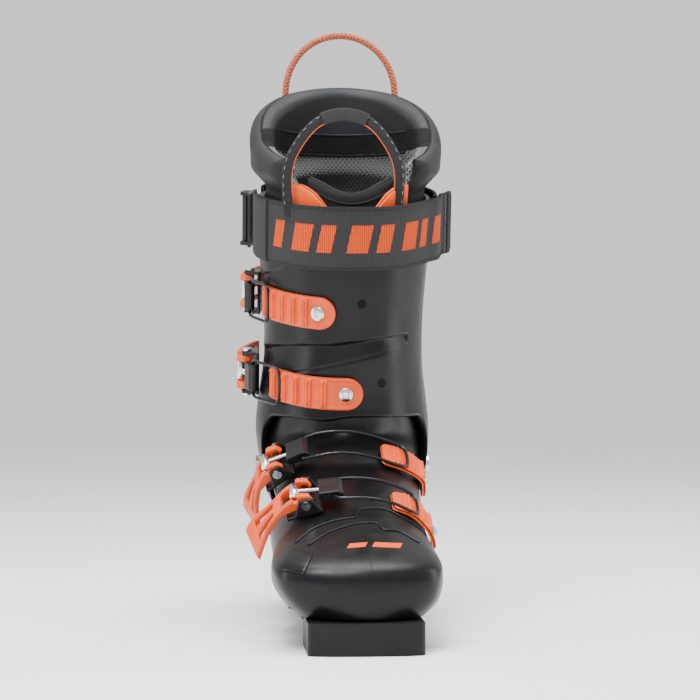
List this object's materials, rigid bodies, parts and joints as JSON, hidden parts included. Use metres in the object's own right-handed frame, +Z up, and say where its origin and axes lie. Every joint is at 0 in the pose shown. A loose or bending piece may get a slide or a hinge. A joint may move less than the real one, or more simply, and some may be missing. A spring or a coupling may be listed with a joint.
{
  "type": "alpine ski boot",
  "caption": "Right alpine race ski boot: rigid shell with a hinged cuff, padded liner, lever buckles with wire bails over toothed ladders, power strap and pull loops.",
  "frame": {"origin": "middle of the flat underside of the toe lug, on the ground", "axes": "+Z up, toe towards -Y, heel towards +Y, the outer side with the buckle levers towards -X, the inner side towards +X"},
  "size_m": [0.1426, 0.305, 0.396],
  "materials": {
    "shell_plastic": "satin black moulded polyurethane with a fine texture",
    "sole_plastic": "matte dark grey hard sole plastic",
    "orange_plastic": "orange coated aluminium, satin",
    "black_plastic": "black coated aluminium, satin",
    "bright_steel": "bright zinc-plated steel",
    "wire_steel": "black coated spring steel wire",
    "liner_fabric": "dark grey moulded foam with smooth and mesh fabric",
    "liner_orange": "orange liner trim",
    "webbing": "black woven webbing",
    "orange_webbing": "orange and black woven tape",
    "foam": "dense grey foam"
  },
  "bodies": {
    "shell": {"toe_sole": "sole_plastic", "toe_sole_screw_lateral": "bright_steel", "toe_sole_screw_medial": "bright_steel", "heel_sole": "sole_plastic", "heel_sole_screw_lateral": "bright_steel", "heel_sole_screw_medial": "bright_steel", "lower_shell": "shell_plastic", "boot_board": "foam", "liner_foot": "liner_fabric", "footbed": "foam", "cuff_pivot_medial": "bright_steel", "cuff_pivot_lateral": "bright_steel", "toe_buckle_base": "black_plastic", "toe_buckle_rivet_front": "bright_steel", "toe_buckle_rivet_rear": "bright_steel", "toe_buckle_ladder": "orange_plastic", "toe_buckle_ladder_screw": "bright_steel", "instep_buckle_base": "black_plastic", "instep_buckle_rivet_front": "bright_steel", "instep_buckle_rivet_rear": "bright_steel", "instep_buckle_ladder": "orange_plastic", "instep_buckle_ladder_screw": "bright_steel"},
    "cuff": {"cuff": "shell_plastic", "liner_shaft": "liner_fabric", "tongue": "liner_fabric", "liner_wing_medial": "liner_orange", "liner_wing_lateral": "liner_orange", "lower_cuff_buckle_base": "black_plastic", "lower_cuff_buckle_rivet_front": "bright_steel", "lower_cuff_buckle_rivet_rear": "bright_steel", "lower_cuff_buckle_ladder": "orange_plastic", "lower_cuff_buckle_ladder_screw": "bright_steel", "upper_cuff_buckle_base": "black_plastic", "upper_cuff_buckle_rivet_front": "bright_steel", "upper_cuff_buckle_rivet_rear": "bright_steel", "upper_cuff_buckle_ladder": "orange_plastic", "upper_cuff_buckle_ladder_screw": "bright_steel", "rear_strap": "webbing", "power_strap": "webbing", "strap_buckle": "black_plastic", "strap_rivet": "bright_steel", "rear_loop": "orange_webbing", "tongue_loop": "webbing"},
    "toe_buckle_lever": {"toe_buckle_lever": "orange_plastic"},
    "toe_buckle_link": {"toe_buckle_rod": "bright_steel", "toe_buckle_clevis": "black_plastic"},
    "toe_buckle_wire": {"toe_buckle_wire": "wire_steel"},
    "instep_buckle_lever": {"instep_buckle_lever": "orange_plastic"},
    "instep_buckle_link": {"instep_buckle_rod": "bright_steel", "instep_buckle_clevis": "black_plastic"},
    "instep_buckle_wire": {"instep_buckle_wire": "wire_steel"},
    "lower_cuff_buckle_lever": {"lower_cuff_buckle_lever": "orange_plastic"},
    "lower_cuff_buckle_link": {"lower_cuff_buckle_rod": "bright_steel", "lower_cuff_buckle_clevis": "black_plastic"},
    "lower_cuff_buckle_wire": {"lower_cuff_buckle_wire": "wire_steel"},
    "upper_cuff_buckle_lever": {"upper_cuff_buckle_lever": "orange_plastic"},
    "upper_cuff_buckle_link": {"upper_cuff_buckle_rod": "bright_steel", "upper_cuff_buckle_clevis": "black_plastic"},
    "upper_cuff_buckle_wire": {"upper_cuff_buckle_wire": "wire_steel"},
    "strap_cam": {"strap_cam": "black_plastic"}
  },
  "joints": [
    {"name": "cuff_flex", "type": "hinge", "parent": "shell", "child": "cuff", "pos_m": [0, 0.192, 0.1], "axis": [1, 0, 0], "range_deg": [0, 3], "stiffness_Nm_per_rad": 90},
    {"name": "toe_buckle_lever_hinge", "type": "hinge", "parent": "shell", "child": "toe_buckle_lever", "pos_m": [-0.03216, 0.05294, 0.08935], "axis": [0, 0.8988, 0.4384], "range_deg": [0, 120]},
    {"name": "toe_buckle_link_hinge", "type": "hinge", "parent": "toe_buckle_lever", "child": "toe_buckle_link", "pos_m": [-0.03897, 0.05224, 0.0908], "axis": [0, 0.8988, 0.4384], "range_deg": [-120, 0]},
    {"name": "toe_buckle_wire_hinge", "type": "hinge", "parent": "toe_buckle_link", "child": "toe_buckle_wire", "pos_m": [-0.01356, 0.05132, 0.09268], "axis": [0, -0.8988, -0.4384], "range_deg": [0, 35]},
    {"name": "instep_buckle_lever_hinge", "type": "hinge", "parent": "shell", "child": "instep_buckle_lever", "pos_m": [-0.04736, 0.11769, 0.10655], "axis": [0, 0.848, 0.5299], "range_deg": [0, 120]},
    {"name": "instep_buckle_link_hinge", "type": "hinge", "parent": "instep_buckle_lever", "child": "instep_buckle_link", "pos_m": [-0.05425, 0.11834, 0.10551], "axis": [0, 0.848, 0.5299], "range_deg": [-120, 0]},
    {"name": "instep_buckle_wire_hinge", "type": "hinge", "parent": "instep_buckle_link", "child": "instep_buckle_wire", "pos_m": [-0.03097, 0.11282, 0.11434], "axis": [0, -0.848, -0.5299], "range_deg": [0, 14]},
    {"name": "lower_cuff_buckle_lever_hinge", "type": "hinge", "parent": "cuff", "child": "lower_cuff_buckle_lever", "pos_m": [-0.0647, 0.18568, 0.16366], "axis": [0, -0.2079, 0.9781], "range_deg": [0, 120]},
    {"name": "lower_cuff_buckle_link_hinge", "type": "hinge", "parent": "lower_cuff_buckle_lever", "child": "lower_cuff_buckle_link", "pos_m": [-0.06844, 0.19147, 0.16489], "axis": [0, -0.2079, 0.9781], "range_deg": [-120, 0]},
    {"name": "lower_cuff_buckle_wire_hinge", "type": "hinge", "parent": "lower_cuff_buckle_link", "child": "lower_cuff_buckle_wire", "pos_m": [-0.0613, 0.16752, 0.1598], "axis": [0, 0.2079, -0.9781], "range_deg": [0, 35]},
    {"name": "upper_cuff_buckle_lever_hinge", "type": "hinge", "parent": "cuff", "child": "upper_cuff_buckle_lever", "pos_m": [-0.06251, 0.19067, 0.21798], "axis": [0, -0.2079, 0.9781], "range_deg": [0, 120]},
    {"name": "upper_cuff_buckle_link_hinge", "type": "hinge", "parent": "upper_cuff_buckle_lever", "child": "upper_cuff_buckle_link", "pos_m": [-0.06513, 0.19702, 0.21933], "axis": [0, -0.2079, 0.9781], "range_deg": [-120, 0]},
    {"name": "upper_cuff_buckle_wire_hinge", "type": "hinge", "parent": "upper_cuff_buckle_link", "child": "upper_cuff_buckle_wire", "pos_m": [-0.06336, 0.17214, 0.21404], "axis": [0, 0.2079, -0.9781], "range_deg": [0, 35]},
    {"name": "strap_cam_hinge", "type": "hinge", "parent": "cuff", "child": "strap_cam", "pos_m": [-0.06502, 0.18459, 0.26709], "axis": [0, -0.2079, 0.9781], "range_deg": [0, 60]}
  ],
  "couplings": [
    {"joint": "toe_buckle_link_hinge", "follows": "toe_buckle_lever_hinge", "ratio": -1},
    {"joint": "instep_buckle_link_hinge", "follows": "instep_buckle_lever_hinge", "ratio": -1},
    {"joint": "lower_cuff_buckle_link_hinge", "follows": "lower_cuff_buckle_lever_hinge", "ratio": -1},
    {"joint": "upper_cuff_buckle_link_hinge", "follows": "upper_cuff_buckle_lever_hinge", "ratio": -1}
  ]
}
